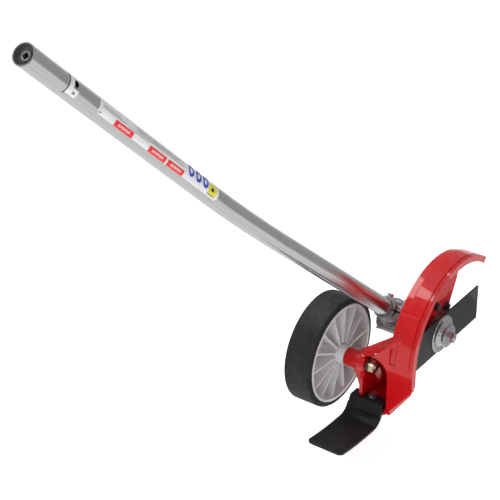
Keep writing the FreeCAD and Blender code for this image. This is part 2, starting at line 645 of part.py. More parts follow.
ROOF_LOW, ROOF_HIGH = (-89, -6), (-98.5, 43.5)
EDGE_LOW, EDGE_HIGH = (-96, -10), (-108, 35)
roof_left, roof_right = PLATE_L - 13, LEFT + 1
roof = solid("roof", hexahedron([
    Vector(roof_left, *ROOF_LOW), Vector(roof_right, *ROOF_HIGH), Vector(roof_right, *EDGE_HIGH),
    Vector(roof_left, *EDGE_LOW),
], 7), HEAD)
roof_tip = solid("roof_tip", hexahedron([
    Vector(roof_right - 0.2, *ROOF_HIGH), Vector(2, -99.5, 47.5), Vector(1, -103.5, 45),
    Vector(roof_right - 0.2, *EDGE_HIGH),
], 7), HEAD)
roof_back = solid("roof_back", hexahedron([
    Vector(roof_left, -86, -12), Vector(roof_right, -88, 27), Vector(roof_right, *ROOF_HIGH),
    Vector(roof_left, *ROOF_LOW),
], 7), HEAD)


def sector(name, radius, thickness, centre, start, sweep):
    """A pie slice about a line along X, its first edge at `start` degrees."""
    obj = cylinder(name, radius, thickness, centre, X, angle=sweep)
    obj.Placement.Rotation = FreeCAD.Rotation(X, start) * FreeCAD.Rotation(Y, Z, X, "XYZ")
    return obj


def band(name, inner, outer, thickness, centre, start, sweep):
    return cut(name, sector(name + "_outer", outer, thickness, centre, start, sweep),
               sector(name + "_inner", inner, thickness, centre, start - 1, sweep + 2))


def slot_band(name, inner, outer, thickness, at_x, start, sweep):
    return band(name, inner, outer, thickness, HEAD + SLOT_CENTRE + X * at_x, start, sweep)


SLOT_R, SLOT_W = num("slot_radius"), num("slot_width")
SLOT_LOW = SLOT_START - num("slot_travel")
LIP_WIDE, LIP_HIGH = 2.2, 2.0
LIPS_FROM = -1.9
lips = [
    slot_band("slot_lip_out", SLOT_R + SLOT_W / 2, SLOT_R + SLOT_W / 2 + LIP_WIDE, LIP_HIGH, PLATE_R,
              LIPS_FROM, 74),
    slot_band("slot_lip_in", SLOT_R - SLOT_W / 2 - LIP_WIDE, SLOT_R - SLOT_W / 2, LIP_HIGH, PLATE_R,
              LIPS_FROM, 68),
]
WALL_IN, WALL_OUT = SLOT_R + 11, SLOT_R + 15
tunnel_long = size(LEFT) - PLATE_L + 2
tunnel_wall = slot_band("tunnel_wall", WALL_IN, WALL_OUT, tunnel_long, PLATE_L, LIPS_FROM - 1, 68)
slot_back = slot_band("slot_back", WALL_IN, WALL_OUT, 18, PLATE_L - 17, LIPS_FROM - 1, 42)
HOOD_IN = num("sleeve_od") / 2 + 0.3
hood = band("hood", HOOD_IN, num("boss_od") / 2, dim("hood_length"),
            head(PLATE_R - num("hood_length"), AXLE.y, AXLE.z), SLOT_START, 180)
shelf = box("shelf", (0, 0, 0), (48, 54, 6))
put(shelf, head(PLATE_L, -104, -76))
ledge = box("ledge", (0, 0, 0), (38, 3, 5))
put(ledge, head(PLATE_L + 10, -90, -71))
ARCH_LEFT, ARCH_RIGHT, ARCH_TOP = -60.5, -15.5, 7.5
ARCH_R = (ARCH_RIGHT - ARCH_LEFT) / 2
ARCH_X = ARCH_LEFT + ARCH_R
arch_round = cylinder("arch_round", ARCH_R, 12, head(ARCH_X, -101.5, ARCH_TOP - ARCH_R), Y * -1)
arch_low = box("arch_low", (0, 0, 0), (ARCH_R * 2, 12, ARCH_TOP - ARCH_R + 68))
put(arch_low, head(ARCH_LEFT, -113.5, -68))
back_wall = cut("back_wall", rear_wall, [arch_round, arch_low])
bracket_solids = [bracket, gusset, roof, roof_tip, roof_back, tunnel_wall, slot_back, hood, shelf, ledge]
guard_body = fuse("guard_body", [fender, back_wall, rear_lip, web] + bracket_solids + ears + lips)

SLOT_DEEP = 12
slot_x = PLATE_R - num("bracket_plate") - 1
slot_cut = [slot_band("slot_cut", SLOT_R - SLOT_W / 2, SLOT_R + SLOT_W / 2, SLOT_DEEP, slot_x, SLOT_LOW,
                      num("slot_travel"))]
for tag, angle in (("top", SLOT_START), ("low", SLOT_LOW)):
    y, z = around(SLOT_R, angle)
    slot_cut.append(cylinder(f"slot_end_{tag}", dim("slot_width") / 2, SLOT_DEEP,
                             HEAD + SLOT_CENTRE + Vector(slot_x, y, z), X))
sleeve_room = cylinder("sleeve_room", HOOD_IN, num("hood_length") - num("bracket_plate") + 0.5,
                       head(PLATE_R - num("hood_length") - 0.5, AXLE.y, AXLE.z), X)
sleeve_path = slot_band("sleeve_path", SLOT_R - HOOD_IN, SLOT_R + HOOD_IN, 28, PLATE_L - 28, SLOT_LOW - 10,
                        num("slot_travel") + 10)
flap_room = put(box("flap_room", (0, 0, 0), (6, 12.5, 8.2)), head(PLATE_L - 0.5, -104.5, -70))
nose_opening = spindle_bar("nose_opening", dim("nose_od") / 2 + 0.5, LEFT - 1, LEFT + 8)
guard_cuts = slot_cut + [sleeve_path, sleeve_room, flap_room, nose_opening]
for i, angle in enumerate(BOLT_ANGLES):
    guard_cuts.append(cylinder(f"guard_hole_{i}", dim("guard_bolt") / 2 + 0.3, 10,
                               head(LEFT - 3, *around(num("guard_bolt_circle") / 2, angle)), X))
FLAP_SCREW = Vector(-42, -97, -70)
guard_cuts.append(cylinder("flap_hole", 3.2, 9, HEAD + FLAP_SCREW - Z * 8, Z))
node(cut("guard_solid", guard_body, guard_cuts), "guard")

guard_bolts = []
for i, angle in enumerate(BOLT_ANGLES):
    y, z = around(num("guard_bolt_circle") / 2, angle)
    at = head(LEFT + num("web_thick"), y, z)
    flange = cylinder(f"guard_bolt_flange_{i}", 6.2, 1.2, at, X)
    hexagon = prism(f"guard_bolt_hex_{i}", 9, 5, at, X)
    shank = cylinder(f"guard_bolt_shank_{i}", dim("guard_bolt") / 2, 16, at - X * 16, X)
    guard_bolts.append(fuse(f"guard_bolt_{i}", [flange, hexagon, shank]))
node(group("guard_bolt_group", guard_bolts), "guard_bolts")


# ---------------------------------------------------------------- flap
def strip_edge(start, slope, moves, offset):
    """Edges of a strip's side that keeps `offset` above its middle line, which starts down a slope.

    moves holds ("line", length) and ("arc", radius, degrees): degrees over 0 turn downwards."""
    at, heading, edges = Vector(start), math.radians(slope), []

    def ahead(angle):
        return Vector(0, -math.cos(angle), -math.sin(angle))

    def above(angle):
        return Vector(0, -math.sin(angle), math.cos(angle))

    for move in moves:
        first = at + above(heading) * offset
        if move[0] == "line":
            at = at + ahead(heading) * move[1]
            edges.append(Part.makeLine(first, at + above(heading) * offset))
            continue
        _, radius, degrees = move
        side = 1 if degrees > 0 else -1
        centre = at - above(heading) * radius * side
        middle = heading + math.radians(degrees) / 2
        heading += math.radians(degrees)
        reach = (radius + side * offset) * side
        at = centre + above(heading) * radius * side
        arc_middle, arc_end = [centre + above(angle) * reach for angle in (middle, heading)]
        edges.append(Part.Arc(first, arc_middle, arc_end).toShape())
    return edges


FLAP_MOVES = [("line", 5), ("arc", 19, -62), ("arc", 440, -10.3)]
FLAP_SLOPE = 62.0
FLAP_LEFT = -num("flap_right") - num("flap_width")
half = num("flap_thick") / 2
flap_start = Vector(0, -107.8, -74.6)
top, bottom = [strip_edge(flap_start, FLAP_SLOPE, FLAP_MOVES, side * half) for side in (1, -1)]
ends = [Part.makeLine(top[0].Vertexes[0].Point, bottom[0].Vertexes[0].Point),
        Part.makeLine(top[-1].Vertexes[-1].Point, bottom[-1].Vertexes[-1].Point)]
flap_face = Part.Face(Part.Wire(Part.__sortEdges__(top + bottom + ends)))
blade_shape = flap_face.extrude(X * num("flap_width"))
block_corners = [
    (-92, -69.9), (-92, -62), (-109.5, -62), (-115.3, -76.5), (-112.4, -78.4), (-104.2, -78),
    (-104.2, -69.9),
]
block_points = [Vector(num("flap_inset"), y, z) for y, z in block_corners]
block = Part.Face(Part.makePolygon(block_points + block_points[:1])).extrude(X * num("flap_block"))
flap_shape = blade_shape.fuse(block).removeSplitter()
screw_hole = Part.makeCylinder(3.1, 12, Vector(FLAP_SCREW.x - FLAP_LEFT, FLAP_SCREW.y, -72), Z)
flap_shape = flap_shape.cut(screw_hole)
flap = doc.addObject("Part::Feature", "flap_solid")
flap.Shape = flap_shape
node(put(flap, head(FLAP_LEFT)), "rubber_flap")
FLAP_TOP = -62
flap_at = HEAD + Vector(FLAP_SCREW.x, FLAP_SCREW.y, FLAP_TOP)
node(cut("flap_washer_solid", cylinder("flap_washer_disc", 6, 1.2, flap_at, Z),
         cylinder("flap_washer_hole", 3, 1.2, flap_at, Z)), "flap_washer")
node(screw("flap_screw_solid", 10, 4.5, 6, 22, flap_at + Z * 1.2, Z), "flap_screw")
nut_at = HEAD + Vector(FLAP_SCREW.x, FLAP_SCREW.y, -81)
flap_nut_hex = prism("flap_nut_hex", 10, 5, nut_at, Z)
flap_nut_bore = cylinder("flap_nut_bore", 3, 5, nut_at, Z)
node(cut("flap_nut_solid", flap_nut_hex, flap_nut_bore), "flap_nut")

# ---------------------------------------------------------------- wheel mount
WHEEL = HEAD + AXLE


def axle_bar(name, radius, start, end):
    """A cylinder on the axle between two x places given from the spindle datum."""
    return cylinder(name, radius, size(end) - start, Vector(head(size(start).number).x, WHEEL.y, WHEEL.z), X)


HUB_R, HUB_L = AXLE.x + num("hub_right"), AXLE.x - num("hub_left")
sleeve = axle_bar("sleeve_bar", dim("sleeve_od") / 2, HUB_R + 0.3, PLATE_L - 0.1)
sleeve_key = axle_bar("sleeve_key", dim("slot_width") / 2 - 0.15, PLATE_L - 1, PLATE_R + 1.8)
sleeve_bore = axle_bar("sleeve_bore", dim("axle_od") / 2, HUB_R, PLATE_R + 2)
node(cut("axle_sleeve_solid", fuse("axle_sleeve_body", [sleeve, sleeve_key]), sleeve_bore), "axle_sleeve")
WASHER_AT = PLATE_R + LIP_HIGH
node(cut("axle_washer_solid", axle_bar("axle_washer_disc", 10.5, WASHER_AT, WASHER_AT + 2),
         axle_bar("axle_washer_bore", dim("axle_od") / 2, WASHER_AT, WASHER_AT + 2)), "axle_washer")
nut_x = WASHER_AT + 2
axle_nut_at = Vector(head(nut_x).x, WHEEL.y, WHEEL.z)
node(cut("axle_nut_solid", prism("axle_nut_hex", dim("axle_flats"), 8, axle_nut_at, X),
         cylinder("axle_nut_bore", dim("axle_od") / 2, 8, axle_nut_at, X)), "axle_nut")
bolt_head_at = Vector(head(HUB_L - 2).x, WHEEL.y, WHEEL.z)
axle_long = nut_x + 10 - (HUB_L - 2)
node(screw("axle_bolt_solid", dim("axle_flats"), 6.4, dim("axle_od"), axle_long, bolt_head_at, X * -1),
     "axle_bolt")
node(cut("axle_head_washer_solid", axle_bar("head_washer_disc", 10.5, HUB_L - 2, HUB_L - 0.2),
         axle_bar("head_washer_bore", dim("axle_od") / 2, HUB_L - 2, HUB_L - 0.2)), "axle_head_washer")

# ---------------------------------------------------------------- wheel
RIM_R, TYRE_R = dim("rim_od") / 2, dim("wheel_od") / 2
HALF = dim("wheel_width") / 2
hub_r, bush_r = 16.0, 8.0
rim_body = turned("rim_turned", [
    (-dim("hub_left"), bush_r), (-dim("hub_left"), 12), (-8, hub_r), (-3, hub_r + 3), (-2.5, RIM_R - 5),
    (-HALF - 0.5, RIM_R - 3.2), (-HALF - 0.5, RIM_R), (-HALF + 3, RIM_R), (-HALF + 3, RIM_R - 1.5),
    (HALF - 3, RIM_R - 1.5),
    (HALF - 3, RIM_R), (HALF + 0.5, RIM_R), (HALF + 0.5, RIM_R - 3.2), (0.5, RIM_R - 5), (1, hub_r + 5),
    (8, hub_r), (13, 13.2), (dim("hub_right") - 1, 12.6), (dim("hub_right"), 11.8),
    (dim("hub_right"), bush_r),
])
put(rim_body, WHEEL)
spoke_profile = [(-11, 14), (-13, RIM_R - 4), (HALF - 3, RIM_R - 4), (HALF + 1, 15)]
spokes = []
for i in range(num("spokes")):
    arm = plate(f"spoke_{i}", "XY_Plane", spoke_profile, 2.4)
    turn = FreeCAD.Rotation(X, 360 * i / num("spokes"))
    spokes.append(put(arm, WHEEL + turn.multVec(Z * -1.2), turn))
node(fuse("rim_solid", [rim_body] + spokes), "wheel_rim")
tyre = turned("tyre_solid", [
    (-HALF, RIM_R + 0.02), (-HALF, TYRE_R - 3.5), (-HALF + 1.6, TYRE_R - 0.6), (-HALF + 3.5, TYRE_R),
    (HALF - 3.5, TYRE_R), (HALF - 1.6, TYRE_R - 0.6), (HALF, TYRE_R - 3.5), (HALF, RIM_R + 0.02),
    (HALF - 3, RIM_R + 0.02), (HALF - 3, RIM_R - 1.48), (-HALF + 3, RIM_R - 1.48), (-HALF + 3, RIM_R + 0.02),
])
node(put(tyre, WHEEL), "tyre")
bushes = []
for tag, start, end, lip in (("left", -num("hub_left"), -8, -1), ("right", 14, num("hub_right"), 1)):
    bar = axle_bar(f"wheel_bush_{tag}_bar", bush_r, AXLE.x + start, AXLE.x + end)
    bore_r = dim("axle_od") / 2 + dim("running")
    bore = axle_bar(f"wheel_bush_{tag}_bore", bore_r, AXLE.x + start, AXLE.x + end)
    bushes.append(cut(f"wheel_bush_{tag}", bar, bore))
node(group("wheel_bush_group", bushes), "wheel_bushes")

# ---------------------------------------------------------------- check and write
doc.recompute()
faults = [o.Name for o in doc.Objects if "Invalid" in o.State or "Error" in o.State]
for part in nodes:
    shape = part.Shape
    if shape.isNull() or not shape.isValid():
        faults.append(part.Label)
if faults:
    raise RuntimeError(f"these objects failed: {faults}")
os.makedirs("parts", exist_ok=True)
for part in nodes:
    part.Shape.exportStep(f"parts/{part.Label}.step")
    print(part.Label, len(part.Shape.Solids), "solids", round(part.Shape.Volume / 1000, 2), "cm3")
print("head datum", HEAD)
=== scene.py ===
import json
import math

import bmesh
import bpy
import numpy as np
from mathutils import Matrix, Vector


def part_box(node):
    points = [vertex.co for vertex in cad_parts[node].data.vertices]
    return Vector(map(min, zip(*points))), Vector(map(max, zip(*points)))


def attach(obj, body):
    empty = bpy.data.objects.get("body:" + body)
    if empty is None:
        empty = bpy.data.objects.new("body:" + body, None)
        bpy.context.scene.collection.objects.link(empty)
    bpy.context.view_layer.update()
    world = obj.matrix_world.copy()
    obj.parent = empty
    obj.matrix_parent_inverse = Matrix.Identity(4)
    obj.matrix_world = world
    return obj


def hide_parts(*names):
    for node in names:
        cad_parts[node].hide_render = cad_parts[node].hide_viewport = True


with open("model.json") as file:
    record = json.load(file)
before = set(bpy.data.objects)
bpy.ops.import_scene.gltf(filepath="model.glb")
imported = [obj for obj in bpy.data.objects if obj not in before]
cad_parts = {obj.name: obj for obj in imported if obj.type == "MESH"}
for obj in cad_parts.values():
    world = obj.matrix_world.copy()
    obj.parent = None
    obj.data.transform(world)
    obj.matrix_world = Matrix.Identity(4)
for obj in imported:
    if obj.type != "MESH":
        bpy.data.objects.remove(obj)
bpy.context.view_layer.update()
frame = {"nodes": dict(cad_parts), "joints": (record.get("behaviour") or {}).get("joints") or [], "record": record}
nodes = frame["nodes"]
record = frame["record"]
MM = 0.001

scene = bpy.context.scene


# ---------------------------------------------------------------- datums from the frame
def mid(node):
    lo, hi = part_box(node)
    return (lo + hi) / 2


def joint(name):
    return next(j for j in frame["joints"] if j["name"] == name)


def mount(name):
    return next(m for m in record["mounts"] if m["name"] == name)


blade_lo, blade_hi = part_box("blade")
HEAD = Vector((blade_hi.x, mid("blade").y, mid("blade").z))
X = Vector((1, 0, 0))
Y = Vector((0, 1, 0))
Z = Vector((0, 0, 1))


def head(x, y, z):
    """A point given in millimetres from the spindle axis at the blade's outer face."""
    return HEAD + Vector((x, y, z)) * MM


def over(direction):
    """The direction square to the boom's line in its own plane, on the upper side."""
    return Vector((0, -direction.z, direction.y))


spigot = mount("boom_spigot")
UPPER = -Vector(spigot["axis"])
STRAIGHT = spigot["dims"]["length_mm"] * MM
pinion = joint("pinion_spin")
LOWER = -Vector(pinion["axis"])
GEARS = Vector(pinion["pos_m"])
TURN = UPPER.angle(LOWER)
# where the two straight runs of the boom would meet, measured down the upper one
MEET = (GEARS.y * LOWER.z - GEARS.z * LOWER.y) / (UPPER.y * LOWER.z - UPPER.z * LOWER.y)
BEND_R = (MEET - STRAIGHT) / math.tan(TURN / 2)
BOOM_R = (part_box("boom_tube")[1].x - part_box("boom_tube")[0].x) / 2


def boom_at(s):
    """Centre and direction of the boom, s metres below its mouth."""
    if s <= STRAIGHT:
        return UPPER * s, UPPER
    a = min((s - STRAIGHT) / BEND_R, TURN)
    up = over(UPPER)
    centre = UPPER * STRAIGHT + (UPPER * math.sin(a) + up * (1 - math.cos(a))) * BEND_R
    along = UPPER * math.cos(a) + up * math.sin(a)
    return centre + along * max(0, s - STRAIGHT - BEND_R * TURN), along


# ---------------------------------------------------------------- materials
NOISE_SPAN = (0.3, 0.7)     # the part of a noise's range that a colour or a gloss runs over
NOISE_DETAIL = 3.0
NOISE_ROUGHNESS = 0.55


class Finish:
    """A node material: colour, gloss and relief that vary over the piece."""

    def __init__(self, name, colour, metallic=0.0, roughness=0.5):
        self.mat = bpy.data.materials.new(name)
        self.mat.use_nodes = True
        self.tree = self.mat.node_tree
        self.shader = self.tree.nodes["Principled BSDF"]
        self.shader.inputs["Metallic"].default_value = metallic
        self.shader.inputs["Roughness"].default_value = roughness
        self.shader.inputs["Base Color"].default_value = (*colour, 1)
        self.mat.diffuse_color = (*colour, 1)
        self.coords = self.new("ShaderNodeTexCoord").outputs["Object"]
        self.relief = None

    def new(self, kind):
        return self.tree.nodes.new(kind)

    def link(self, a, b):
        self.tree.links.new(a, b)

    def noise(self, scale, detail=NOISE_DETAIL, stretch=(1, 1, 1), turn=None):
        """Noise with about this many patches a metre; turn comes before the stretch."""
        mapping = self.new("ShaderNodeMapping")
        mapping.inputs["Scale"].default_value = stretch
        source = self.coords
        if turn is not None:
            first = self.new("ShaderNodeMapping")
            first.inputs["Rotation"].default_value = turn
            self.link(source, first.inputs["Vector"])
            source = first.outputs["Vector"]
        self.link(source, mapping.inputs["Vector"])
        node = self.new("ShaderNodeTexNoise")
        node.inputs["Scale"].default_value = scale
        node.inputs["Detail"].default_value = detail
        node.inputs["Roughness"].default_value = NOISE_ROUGHNESS
        self.link(mapping.outputs["Vector"], node.inputs["Vector"])
        return node.outputs["Fac"]

    def tone(self, source, low, high):
        """The colour runs from low to high as source does."""
        node = self.new("ShaderNodeValToRGB")
        for element, place, colour in zip(node.color_ramp.elements, NOISE_SPAN, (low, high)):
            element.position = place
            element.color = (*colour, 1)
        self.link(source, node.inputs["Fac"])
        self.link(node.outputs["Color"], self.shader.inputs["Base Color"])
        return self

    def gloss(self, source, low, high):
        """The roughness runs from low to high as source does."""
        node = self.new("ShaderNodeMapRange")
        node.inputs["From Min"].default_value = NOISE_SPAN[0]
        node.inputs["From Max"].default_value = NOISE_SPAN[1]
        node.inputs["To Min"].default_value = low
        node.inputs["To Max"].default_value = high
        self.link(source, node.inputs["Value"])
        self.link(node.outputs["Result"], self.shader.inputs["Roughness"])
        return self

    def bump(self, source, height):
        """Relief of this height in millimetres, on top of any relief added before."""
        node = self.new("ShaderNodeBump")
        node.inputs["Strength"].default_value = 1.0
        node.inputs["Distance"].default_value = height * MM
        self.link(source, node.inputs["Height"])
        if self.relief is not None:
            self.link(self.relief, node.inputs["Normal"])
        self.relief = node.outputs["Normal"]
        self.link(self.relief, self.shader.inputs["Normal"])
        return self

    def coat(self, weight, roughness):
        self.shader.inputs["Coat Weight"].default_value = weight
        self.shader.inputs["Coat Roughness"].default_value = roughness
        return self

    def specular(self, level):
        """How strongly the bare surface mirrors its surroundings; 0.5 is plain plastic."""
        self.shader.inputs["Specular IOR Level"].default_value = level
        return self

    def glow(self, level):
        """White light of its own, for the sheets around the object."""
        self.shader.inputs["Emission Color"].default_value = (1, 1, 1, 1)
        self.shader.inputs["Emission Strength"].default_value = level
        return self


RED = (0.60, 0.003, 0.006)
red = Finish("red_paint", RED, roughness=0.32)
red.tone(red.noise(55), (0.55, 0.0025, 0.005), RED)
red.gloss(red.noise(130), 0.25, 0.36)
red.bump(red.noise(260, 2), 0.02).bump(red.noise(900, 1), 0.008)
red.coat(0.9, 0.05).specular(0.12)

ALU = (0.62, 0.625, 0.63)
tube = Finish("boom_metal", ALU, metallic=1.0, roughness=0.2)
DRAWN = (1, 0.02, 1)        # the drawing lines are fifty times as long as they are wide
draw = tube.noise(900, 2, stretch=DRAWN, turn=(math.acos(UPPER.y), 0, 0))
tube.tone(draw, (0.55, 0.555, 0.56), ALU).gloss(draw, 0.17, 0.27)
tube.bump(draw, 0.004)

cast = Finish("case_metal", (0.32, 0.325, 0.33), metallic=0.8, roughness=0.5)
cast.tone(cast.noise(240, 4), (0.17, 0.173, 0.175), (0.38, 0.385, 0.39))
cast.gloss(cast.noise(500), 0.34, 0.55).bump(cast.noise(900, 3), 0.07).bump(cast.noise(200), 0.1)

zinc = Finish("zinc_steel", (0.55, 0.56, 0.57), metallic=1.0, roughness=0.25)
zinc.tone(zinc.noise(300), (0.38, 0.39, 0.40), (0.66, 0.67, 0.68))
zinc.gloss(zinc.noise(700), 0.18, 0.34).bump(zinc.noise(1500, 2), 0.008)

black = Finish("black_steel", (0.09, 0.09, 0.095), metallic=0.9, roughness=0.35)
black.tone(black.noise(500), (0.06, 0.06, 0.062), (0.13, 0.13, 0.135))
black.gloss(black.noise(900), 0.28, 0.42).bump(black.noise(1500), 0.01)

yellow_zinc = Finish("yellow_zinc", (0.62, 0.50, 0.30), metallic=1.0, roughness=0.3)
yellow_zinc.tone(yellow_zinc.noise(220), (0.52, 0.38, 0.20), (0.72, 0.66, 0.50))
yellow_zinc.gloss(yellow_zinc.noise(800), 0.22, 0.38).bump(yellow_zinc.noise(1400), 0.008)

blade_paint = Finish("blade_paint", (0.034, 0.036, 0.038), roughness=0.5)
blade_paint.tone(blade_paint.noise(900, 2), (0.022, 0.024, 0.026), (0.038, 0.041, 0.043))
blade_paint.gloss(blade_paint.noise(300), 0.42, 0.58).bump(blade_paint.noise(1600, 2), 0.02)
blade_paint.specular(0.25)

rubber = Finish("tyre_rubber", (0.020, 0.020, 0.021), roughness=0.55)
rubber.tone(rubber.noise(60, 4), (0.014, 0.014, 0.0145), (0.028, 0.028, 0.029))
rubber.gloss(rubber.noise(200), 0.5, 0.7).specular(0.2)
rubber.bump(rubber.noise(1800, 2), 0.03).bump(rubber.noise(150), 0.06)

flap_black = Finish("flap_rubber", (0.010, 0.010, 0.011), roughness=0.5)
flap_black.tone(flap_black.noise(90, 4), (0.007, 0.007, 0.0075), (0.016, 0.0155, 0.016))
flap_black.gloss(flap_black.noise(400), 0.36, 0.6).bump(flap_black.noise(2200, 2), 0.035)
flap_black.specular(0.25)

plastic = Finish("rim_plastic", (0.74, 0.745, 0.755), roughness=0.42)
plastic.tone(plastic.noise(80, 3), (0.68, 0.685, 0.695), (0.77, 0.775, 0.785))
plastic.gloss(plastic.noise(300), 0.34, 0.5).bump(plastic.noise(1600, 2), 0.03)
plastic.shader.inputs["Subsurface Weight"].default_value = 0.03
plastic.shader.inputs["Subsurface Radius"].default_value = (0.002, 0.002, 0.002)

bush = Finish("bush_plastic", (0.17, 0.16, 0.14), roughness=0.45)
bush.tone(bush.noise(200), (0.11, 0.10, 0.085), (0.23, 0.215, 0.19))
bush.bump(bush.noise(1500), 0.02)

liner = Finish("liner_plastic", (0.10, 0.10, 0.105), roughness=0.4)
liner.tone(liner.noise(120), (0.07, 0.07, 0.075), (0.13, 0.13, 0.135))
liner.bump(liner.noise(900), 0.01)

shaft = Finish("shaft_steel", (0.62, 0.63, 0.64), metallic=1.0, roughness=0.3)
shaft.tone(shaft.noise(300), (0.50, 0.51, 0.52), (0.70, 0.71, 0.72))
shaft.gloss(shaft.noise(900), 0.22, 0.38)

bearing = Finish("bearing_steel", (0.72, 0.73, 0.74), metallic=1.0, roughness=0.18)
bearing.tone(bearing.noise(200), (0.64, 0.65, 0.66), (0.78, 0.79, 0.80))
bearing.gloss(bearing.noise(900), 0.14, 0.24)

seal = Finish("seal_rubber", (0.03, 0.02, 0.018), roughness=0.5)
seal.tone(seal.noise(300), (0.02, 0.014, 0.012), (0.045, 0.03, 0.028))
seal.bump(seal.noise(1500), 0.01)

SLOTS = {
    "boom_metal": tube, "case_metal": cast, "red_paint": red, "blade_paint": blade_paint,
    "zinc_steel": zinc, "black_steel": black, "yellow_zinc": yellow_zinc, "rim_plastic": plastic,
    "tyre_rubber": rubber, "bush_plastic": bush, "flap_rubber": flap_black, "liner_plastic": liner,
    "shaft_steel": shaft, "bearing_steel": bearing, "seal_rubber": seal,
}


def finish_of(obj, finish):
    obj.data.materials.clear()
    obj.data.materials.append(finish.mat)


# ---------------------------------------------------------------- CAD nodes: finishes and edges
slot_of = {row["node"]: row["material_slot"] for row in record["subparts"]}

# width of the rounding in millimetres, its segments, and the least angle in degrees that it rounds
PLAIN_EDGE = (0.25, 2, 32)
OTHER_EDGES = {
    "boom_tube": (0.12, 2, 32),
    "blade": (0.12, 2, 32),
    "guard": (0.8, 3, 25),
    "wheel_rim": (0.6, 3, 32),
}
REMADE = ("gearcase", "gearcase_cover", "rubber_flap", "tyre")


def soften_edges(obj, width, segments, angle):
    """Rounds an object's sharp edges with modifiers; its own points and faces stay as they are."""
    bevel = obj.modifiers.new("edge", "BEVEL")
    bevel.width = width * MM
    bevel.segments = segments
    bevel.limit_method = "ANGLE"
    bevel.angle_limit = math.radians(angle)
    bevel.harden_normals = False
    bevel.use_clamp_overlap = True
    for poly in obj.data.polygons:
        poly.use_smooth = True
    weighted = obj.modifiers.new("normals", "WEIGHTED_NORMAL")
    weighted.keep_sharp = True


for name, obj in nodes.items():
    finish_of(obj, SLOTS[slot_of[name]])
    if name not in REMADE:
        soften_edges(obj, *OTHER_EDGES.get(name, PLAIN_EDGE))


# ---------------------------------------------------------------- new pieces
def link_mesh(name, mesh):
    obj = bpy.data.objects.new(name, mesh)
    scene.collection.objects.link(obj)
    return obj


def apply_modifiers(obj):
    """Applies the object's modifiers to its mesh."""
    bpy.context.view_layer.update()
    shown = obj.evaluated_get(bpy.context.evaluated_depsgraph_get())
    mesh = bpy.data.meshes.new_from_object(shown)
    obj.modifiers.clear()
    old = obj.data
    obj.data = mesh
    bpy.data.meshes.remove(old)


def melted(node, name, voxel, passes, slot):
    """A fixed CAD solid with the melted edges of a casting or moulding, remeshed and smoothed."""
    obj = link_mesh(name, nodes[node].data.copy())
    remesh = obj.modifiers.new("voxels", "REMESH")
    remesh.mode = "VOXEL"
    remesh.voxel_size = voxel * MM
    remesh.use_smooth_shade = True
    apply_modifiers(obj)
    smooth = obj.modifiers.new("smooth", "SMOOTH")
    smooth.factor = 0.5
    smooth.iterations = passes
    apply_modifiers(obj)
    for poly in obj.data.polygons:
        poly.use_smooth = True
    finish_of(obj, SLOTS[slot])
    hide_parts(node)
    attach(obj, "root")
    return obj


CASTING_VOXEL = 0.7
FLAP_VOXEL = 0.8
melted("gearcase", "gearcase_casting", CASTING_VOXEL, 3, "case_metal")
melted("gearcase_cover", "gearcase_cover_casting", CASTING_VOXEL, 2, "case_metal")
flap = melted("rubber_flap", "flap_moulding", FLAP_VOXEL, 3, "flap_rubber")


def round_tip(obj, radius):
    """Rounds the two corners of the strip's free end, which is its end of least y."""
    co = np.empty(len(obj.data.vertices) * 3, np.float32)
    obj.data.vertices.foreach_get("co", co)
    co = co.reshape(-1, 3)
    middle = (co[:, 0].min() + co[:, 0].max()) / 2
    half = (co[:, 0].max() - co[:, 0].min()) / 2
    d = np.clip(co[:, 1] - co[:, 1].min(), 0, radius)
    width = half - radius + np.sqrt(np.maximum(radius ** 2 - (radius - d) ** 2, 0))
    co[:, 0] = middle + (co[:, 0] - middle) * width / half
    obj.data.vertices.foreach_set("co", co.ravel())
    obj.data.update()


FLAP_CORNER = 7
round_tip(flap, FLAP_CORNER * MM)


LATHE_STEPS = 160


def lathe(name, profile, centre):
    """A closed ring turned about the line along X through centre.

    The profile's points are (x, radius) in millimetres.
    """
    bm = bmesh.new()
    rings = []
    for i in range(LATHE_STEPS):
        a = 2 * math.pi * i / LATHE_STEPS
        places = [Vector((x, r * math.cos(a), r * math.sin(a))) * MM for x, r in profile]
        rings.append([bm.verts.new(centre + place) for place in places])
    for i in range(LATHE_STEPS):
        here, there = rings[i], rings[(i + 1) % LATHE_STEPS]
        for k in range(len(profile)):
            n = (k + 1) % len(profile)
            bm.faces.new((here[k], here[n], there[n], there[k]))
    bmesh.ops.recalc_face_normals(bm, faces=bm.faces)
    mesh = bpy.data.meshes.new(name)
    bm.to_mesh(mesh)
    bm.free()
    for poly in mesh.polygons:
        poly.use_smooth = True
    return link_mesh(name, mesh)


tyre_lo, tyre_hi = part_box("tyre")
TREAD_CLEAR = 0.15
TYRE_R = (tyre_hi.y - tyre_lo.y) / 2 / MM - TREAD_CLEAR
TYRE_HALF = (tyre_hi.x - tyre_lo.x) / 2 / MM
SEAT_R = 68.2               # where the tyre's walls leave the rim
SEAT_INSET, SEAT_DEPTH, SEAT_LIP = 3, 1.6, 0.1
TREAD_CORNER, CORNER_STEPS = 3.6, 6
TREAD_X = (8, 0, -8)
# the line of the tyre's wall: how far in from its side, and how far above the seat
WALL_LINE = ((0.6, 0), (0.2, 0.5), (0.3, 1.5), (0.05, 2.6))


def shoulder(side):
    """One side of the tyre's section, from the rim up to the tread."""
    points = [(TYRE_HALF - inset, SEAT_R + rise) for inset, rise in WALL_LINE]
    for k in range(CORNER_STEPS + 1):
        a = math.pi / 2 * k / CORNER_STEPS
        points.append((TYRE_HALF - TREAD_CORNER + TREAD_CORNER * math.cos(a),
                       TYRE_R - TREAD_CORNER + TREAD_CORNER * math.sin(a)))
    return [(side * x, r) for x, r in points]


